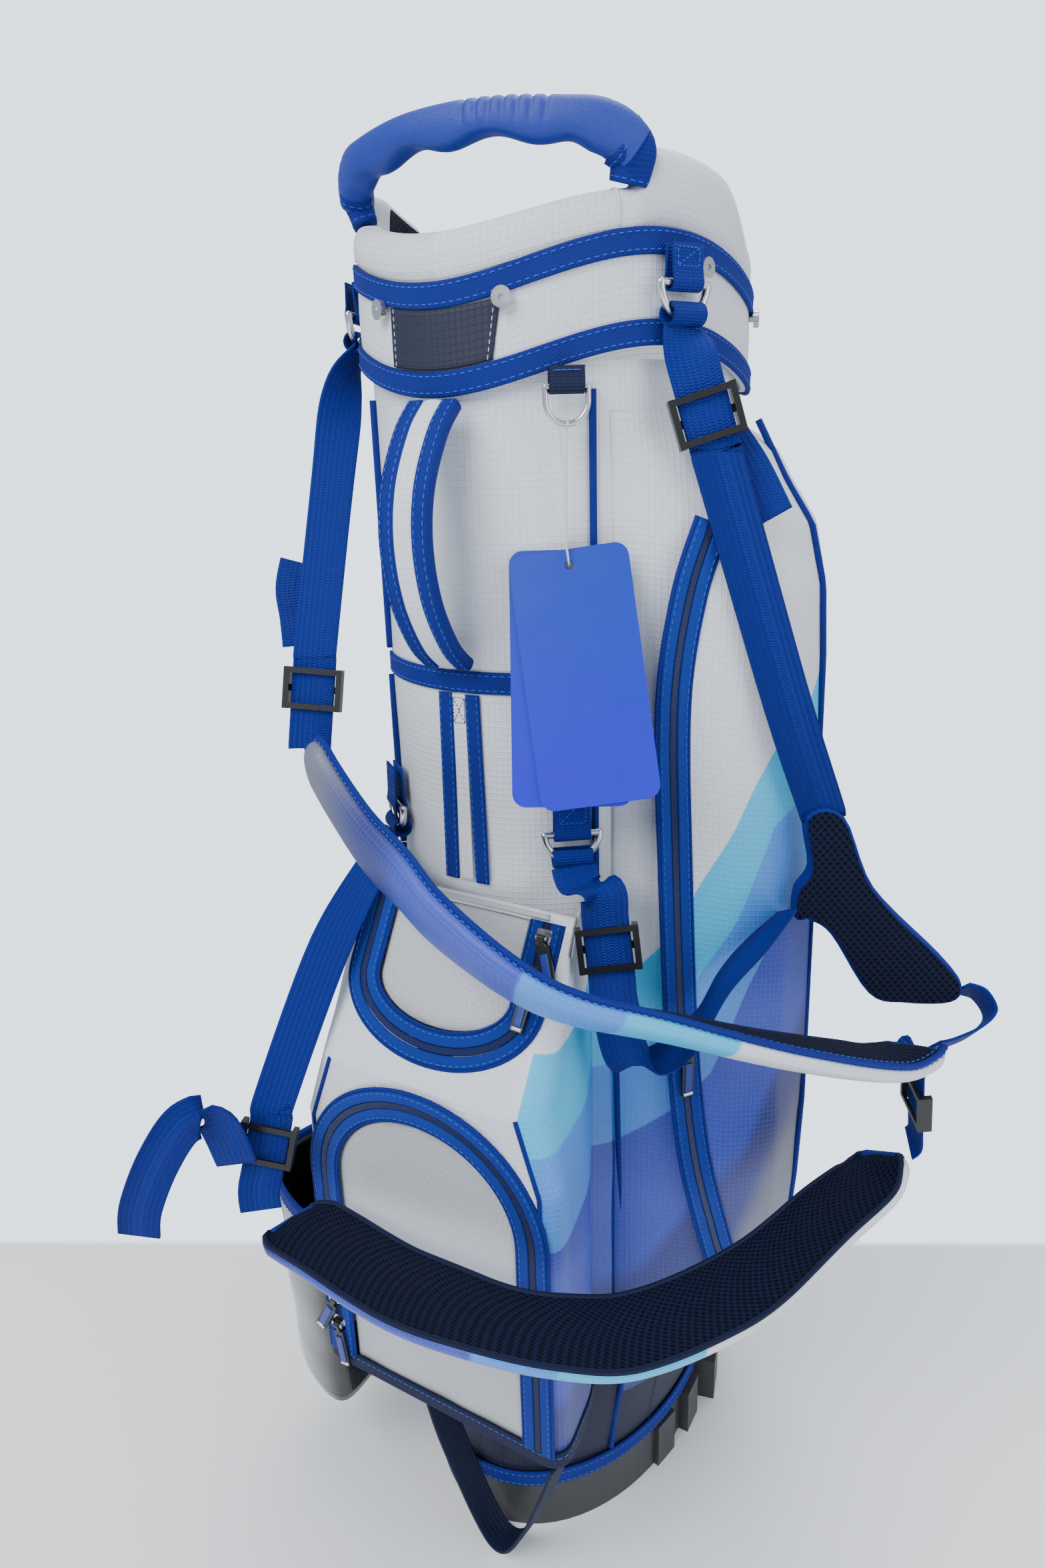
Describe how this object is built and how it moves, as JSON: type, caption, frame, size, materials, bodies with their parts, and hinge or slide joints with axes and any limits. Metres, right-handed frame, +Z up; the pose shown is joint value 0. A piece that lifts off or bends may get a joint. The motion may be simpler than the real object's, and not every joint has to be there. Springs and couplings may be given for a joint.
{
  "type": "golf bag",
  "caption": "Free-standing golf bag with divided club wells, zipped ball and garment pockets, grab handles, hang tag and padded shoulder harness.",
  "frame": {"origin": "middle of the underside of the moulded base, on the floor", "axes": "+Z up along the bag, -Y to the front with the ball pockets and carry handle, +X to the side with the garment pocket"},
  "size_m": [0.4308, 0.4064, 0.8598],
  "materials": {
    "moulded_base": "satin",
    "royal_tape": "ribbed weave",
    "navy_cloth": "plain weave",
    "white_cloth": "fine ripstop",
    "white_pad": "smooth synthetic",
    "printed_cloth": "printed ripstop",
    "black_coated_cloth": "glossy coating",
    "grip": "fine stipple",
    "zip_tape": "twill tape",
    "rods": "drawn",
    "divider_plastic": "satin",
    "divider_cloth": "brushed knit",
    "screw": "satin",
    "ring_metal": "satin nickel",
    "tag": "laminated",
    "clear_cord": "clear",
    "slider_metal": "polished",
    "pull": "moulded",
    "pad_cloth": "air mesh",
    "webbing": "ribbed webbing",
    "lock_plastic": "satin"
  },
  "bodies": {
    "bag": {"base_boot": "moulded_base", "base_binding": "royal_tape", "skirt": "navy_cloth", "tube_shell": "white_cloth", "stay_rods": "rods", "divider_frame": "divider_plastic", "divider_panels": "divider_cloth", "collar": "white_cloth", "collar_lower_binding": "royal_tape", "collar_upper_binding": "royal_tape", "rim_pad": "white_pad", "collar_patch": "navy_cloth", "collar_screws": "screw", "handle_grip": "grip", "handle_sleeves": "royal_tape", "handle_webbing": "navy_cloth", "carry_handle": "white_cloth", "front_stripe": "royal_tape", "mid_band": "royal_tape", "side_piping": "royal_tape", "upper_d_tabs": "royal_tape", "lower_d_tabs": "royal_tape", "towel_loop": "navy_cloth", "ball_pocket": "printed_cloth", "upper_zip": "zip_tape", "lower_zip": "zip_tape", "garment_pocket": "printed_cloth", "garment_zip": "zip_tape", "side_pocket": "black_coated_cloth", "drag_loop": "navy_cloth", "strap_a": "pad_cloth", "strap_b": "pad_cloth", "back_pad": "pad_cloth", "webbing_upper": "webbing", "webbing_lower": "webbing", "webbing_links": "webbing"},
    "upper_ring_left": {"upper_ring_left": "ring_metal"},
    "upper_ring_right": {"upper_ring_right": "ring_metal"},
    "lower_ring_left": {"lower_ring_left": "ring_metal"},
    "lower_ring_right": {"lower_ring_right": "ring_metal"},
    "towel_ring": {"towel_ring": "ring_metal"},
    "tag": {"hang_tag": "tag", "tag_cord": "clear_cord"},
    "upper_flap": {"upper_flap": "printed_cloth"},
    "lower_door": {"lower_door": "printed_cloth"},
    "upper_slider_a": {"upper_slider_a": "slider_metal"},
    "upper_slider_b": {"upper_slider_b": "slider_metal"},
    "lower_slider_a": {"lower_slider_a": "slider_metal"},
    "lower_slider_b": {"lower_slider_b": "slider_metal"},
    "garment_slider": {"garment_slider": "slider_metal"},
    "upper_pull_a": {"upper_pull_a": "pull"},
    "upper_pull_b": {"upper_pull_b": "pull"},
    "lower_pull_a": {"lower_pull_a": "pull"},
    "lower_pull_b": {"lower_pull_b": "pull"},
    "garment_pull": {"garment_pull": "pull"},
    "lock_upper_left": {"lock_upper_left": "lock_plastic"},
    "lock_lower_left": {"lock_lower_left": "lock_plastic"},
    "glide_upper_right": {"glide_upper_right": "lock_plastic"},
    "glide_lower_right": {"glide_lower_right": "lock_plastic"},
    "pad_buckles": {"pad_buckles": "lock_plastic"}
  },
  "joints": [
    {"name": "upper_ring_left_hinge", "type": "hinge", "parent": "bag", "child": "upper_ring_left", "pos_m": [-0.09957, -0.05658, 0.778], "axis": [-0.3876, 0.9218, 0], "range_deg": [-2, 2.5]},
    {"name": "upper_ring_right_hinge", "type": "hinge", "parent": "bag", "child": "upper_ring_right", "pos_m": [0.09957, -0.05658, 0.778], "axis": [-0.3876, -0.9218, 0], "range_deg": [-2, 2.5]},
    {"name": "lower_ring_left_hinge", "type": "hinge", "parent": "bag", "child": "lower_ring_left", "pos_m": [-0.05911, -0.10146, 0.507], "axis": [-0.7837, 0.6212, 0], "range_deg": [-2, 2.5]},
    {"name": "lower_ring_right_hinge", "type": "hinge", "parent": "bag", "child": "lower_ring_right", "pos_m": [0.05911, -0.10146, 0.507], "axis": [-0.7837, -0.6212, 0], "range_deg": [-2, 2.5]},
    {"name": "towel_ring_hinge", "type": "hinge", "parent": "bag", "child": "towel_ring", "pos_m": [0.0622, -0.10602, 0.733], "axis": [-0.7837, -0.6212, 0], "range_deg": [0, 20]},
    {"name": "tag_hinge", "type": "hinge", "parent": "towel_ring", "child": "tag", "pos_m": [0.0616, -0.1079, 0.7142], "axis": [-0.7837, -0.6212, 0], "range_deg": [0, 35]},
    {"name": "upper_flap_hinge", "type": "hinge", "parent": "bag", "child": "upper_flap", "pos_m": [0, -0.119, 0.466], "axis": [-1, 0, 0], "range_deg": [0, 30]},
    {"name": "lower_door_hinge", "type": "hinge", "parent": "bag", "child": "lower_door", "pos_m": [0, -0.178, 0.15], "axis": [1, 0, 0], "range_deg": [0, 4]},
    {"name": "upper_slider_a_slide", "type": "slide", "parent": "bag", "child": "upper_slider_a", "axis": [0, 0.515, 0.8572], "range_m": [0, 0.004]},
    {"name": "upper_slider_b_slide", "type": "slide", "parent": "bag", "child": "upper_slider_b", "axis": [0, -0.515, -0.8572], "range_m": [0, 0.012]},
    {"name": "lower_slider_a_slide", "type": "slide", "parent": "bag", "child": "lower_slider_a", "axis": [0, 0, 1], "range_m": [0, 0.06]},
    {"name": "lower_slider_b_slide", "type": "slide", "parent": "bag", "child": "lower_slider_b", "axis": [0, 0, -1], "range_m": [0, 0.016]},
    {"name": "garment_slider_slide", "type": "slide", "parent": "bag", "child": "garment_slider", "axis": [0, 0, 1], "range_m": [-0.008, 0.008]},
    {"name": "upper_pull_a_hinge", "type": "hinge", "parent": "upper_slider_a", "child": "upper_pull_a", "pos_m": [0.055, -0.13015, 0.45637], "axis": [-1, 0, 0], "range_deg": [0, 30]},
    {"name": "upper_pull_b_hinge", "type": "hinge", "parent": "upper_slider_b", "child": "upper_pull_b", "pos_m": [0.055, -0.14045, 0.43922], "axis": [-1, 0, 0], "range_deg": [0, 60]},
    {"name": "lower_pull_a_hinge", "type": "hinge", "parent": "lower_slider_a", "child": "lower_pull_a", "pos_m": [-0.073, -0.1826, 0.196], "axis": [-1, 0, 0], "range_deg": [0, 110]},
    {"name": "lower_pull_b_hinge", "type": "hinge", "parent": "lower_slider_b", "child": "lower_pull_b", "pos_m": [-0.073, -0.1826, 0.176], "axis": [-1, 0, 0], "range_deg": [0, 110]},
    {"name": "garment_pull_hinge", "type": "hinge", "parent": "garment_slider", "child": "garment_pull", "pos_m": [0.1163, -0.06954, 0.372], "axis": [-0.6, -0.8, 0], "range_deg": [0, 100]},
    {"name": "lock_upper_left_slide", "type": "slide", "parent": "bag", "child": "lock_upper_left", "axis": [-0.0162, 0.2425, 0.97], "range_m": [-0.003, 0.003]},
    {"name": "lock_lower_left_slide", "type": "slide", "parent": "bag", "child": "lock_lower_left", "axis": [0.0829, 0.2902, 0.9534], "range_m": [-0.003, 0.003]},
    {"name": "glide_upper_right_slide", "type": "slide", "parent": "bag", "child": "glide_upper_right", "axis": [-0.2915, -0.0486, 0.9553], "range_m": [-0.003, 0.003]},
    {"name": "glide_lower_right_slide", "type": "slide", "parent": "bag", "child": "glide_lower_right", "axis": [-0.194, 0.1455, 0.9701], "range_m": [-0.003, 0.003]},
    {"name": "pad_buckles_slide", "type": "slide", "parent": "bag", "child": "pad_buckles", "axis": [-0.0413, -0.1239, 0.9914], "range_m": [-0.003, 0.003]}
  ]
}
